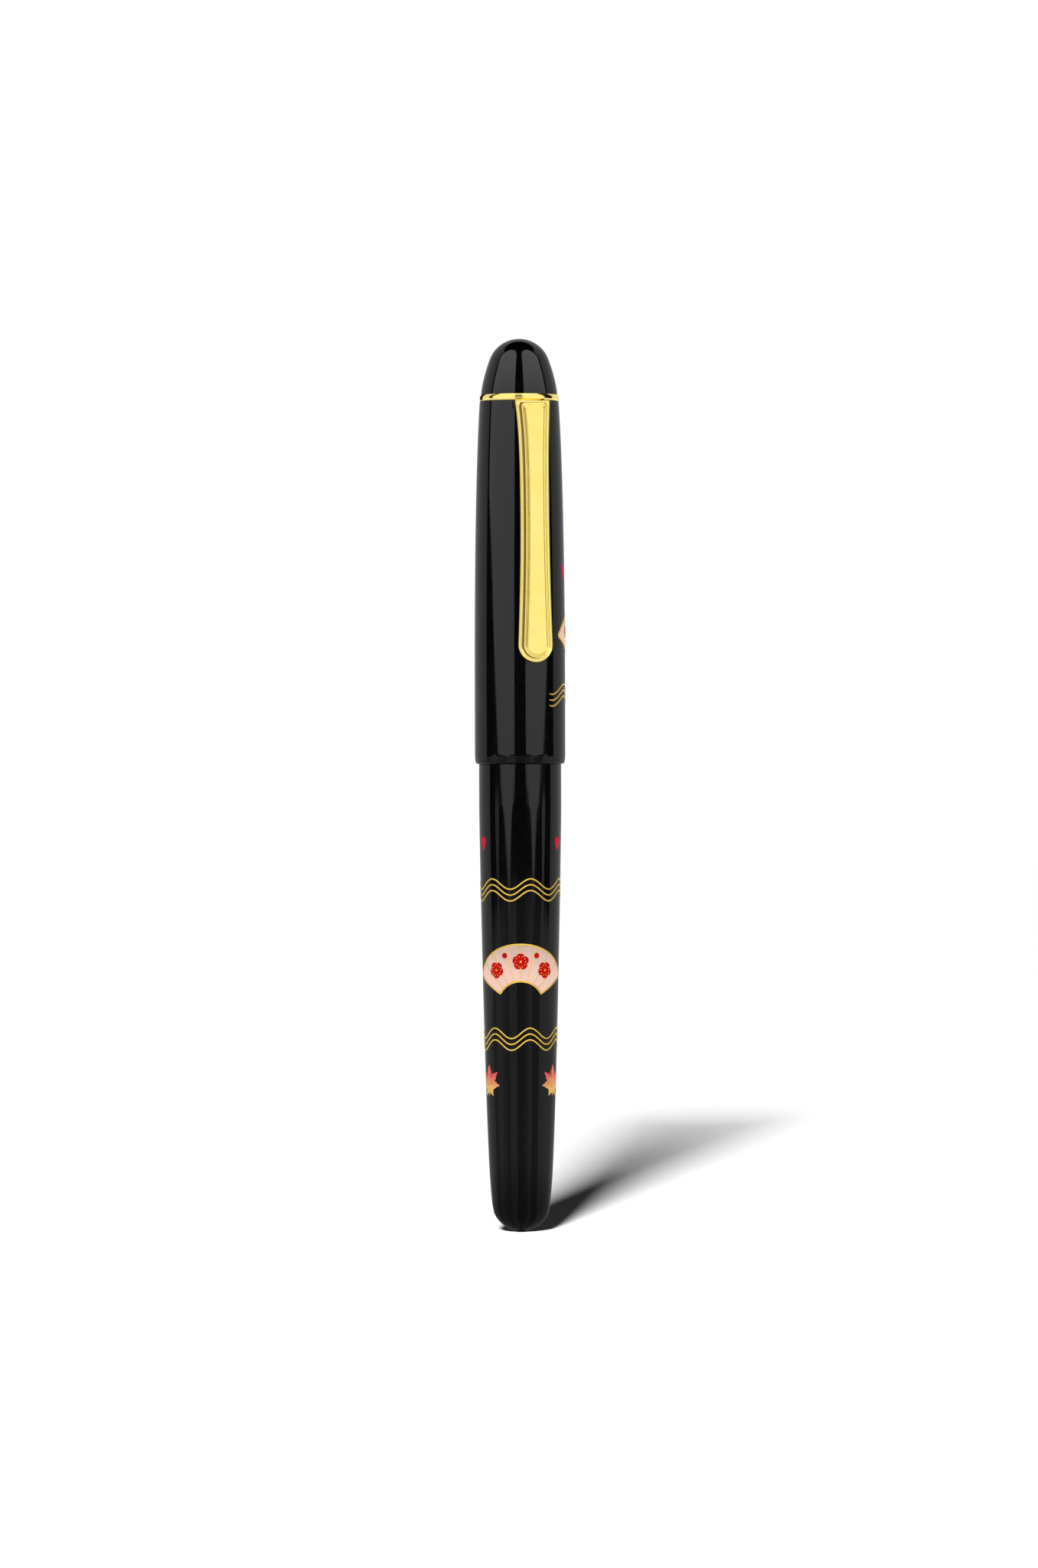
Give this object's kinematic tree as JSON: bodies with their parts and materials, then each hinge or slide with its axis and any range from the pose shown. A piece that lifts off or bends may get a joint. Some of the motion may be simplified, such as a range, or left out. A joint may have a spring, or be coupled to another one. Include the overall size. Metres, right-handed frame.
{
  "type": "rollerball pen",
  "caption": "Capped rollerball pen with a black lacquered body, gold-plated spring clip and rings, a pull-off cap, an unscrewing grip section and a spring-loaded refill.",
  "frame": {"origin": "centre of the small flat at the barrel's closed end", "axes": "+Z along the pen from the barrel's end to the crown, the clip faces -Y, X = 0 is the clip's middle plane"},
  "size_m": [0.014, 0.0162, 0.138],
  "materials": {
    "black_lacquer": "deep polished black lacquer",
    "gilt": "polished gold plate",
    "brass": "turned, unpolished",
    "steel": "turned bright",
    "spring_steel": "drawn wire and strip",
    "liner_plastic": "moulded satin",
    "refill_plastic": "moulded",
    "seal_rubber": "soft matt",
    "ink_fibre": "ink-soaked fibre",
    "feed_fibre": "bonded fibre"
  },
  "bodies": {
    "barrel": {"barrel_shell": "black_lacquer", "barrel_end_plug": "black_lacquer", "barrel_bush": "brass", "refill_spring": "spring_steel"},
    "section_carrier": {"section_ring": "gilt"},
    "section": {"grip_section": "black_lacquer", "nose_collar": "gilt"},
    "cap_carrier": {"cap_snap_ring": "spring_steel"},
    "cap": {"cap_shell": "black_lacquer", "inner_cap": "liner_plastic", "tip_seal": "seal_rubber", "crown_stud": "brass", "clip_ring": "gilt", "cap_crown": "black_lacquer"},
    "clip": {"clip_arm": "gilt"},
    "refill": {"refill_tube": "refill_plastic", "refill_tail_plug": "liner_plastic", "ink_reservoir": "ink_fibre", "ink_feed": "feed_fibre", "refill_head": "refill_plastic", "refill_point": "steel"},
    "ball": {"writing_ball": "steel"}
  },
  "joints": [
    {"name": "section_travel", "type": "slide", "parent": "barrel", "child": "section_carrier", "axis": [0, 0, 1], "range_m": [0, 0.0064]},
    {"name": "section_unscrew", "type": "hinge", "parent": "section_carrier", "child": "section", "pos_m": [0, 0, 0.0866], "axis": [0, 0, 1], "range_deg": [0, 2880]},
    {"name": "cap_pull", "type": "slide", "parent": "section", "child": "cap_carrier", "axis": [0, 0, 1], "range_m": [0, 0.06]},
    {"name": "cap_turn", "type": "hinge", "parent": "cap_carrier", "child": "cap", "pos_m": [0, 0, 0.085], "axis": [0, 0, 1], "continuous": true},
    {"name": "clip_flex", "type": "hinge", "parent": "cap", "child": "clip", "pos_m": [0, -0.0059, 0.1277], "axis": [-1, 0, 0], "range_deg": [0, 3], "stiffness_Nm_per_rad": 1.5, "springref_deg": -1.15},
    {"name": "refill_press", "type": "slide", "parent": "section", "child": "refill", "axis": [0, 0, 1], "range_m": [-0.0012, 0], "stiffness_N_per_m": 500, "springref_m": 0.0015, "deforming": ["refill_spring"]},
    {"name": "ball_roll", "type": "hinge", "parent": "refill", "child": "ball", "pos_m": [0, 0, 0.12305], "axis": [1, 0, 0], "continuous": true}
  ],
  "couplings": [
    {"joint": "section_travel", "follows": "section_unscrew", "m_per_rad": 0.00012732}
  ]
}
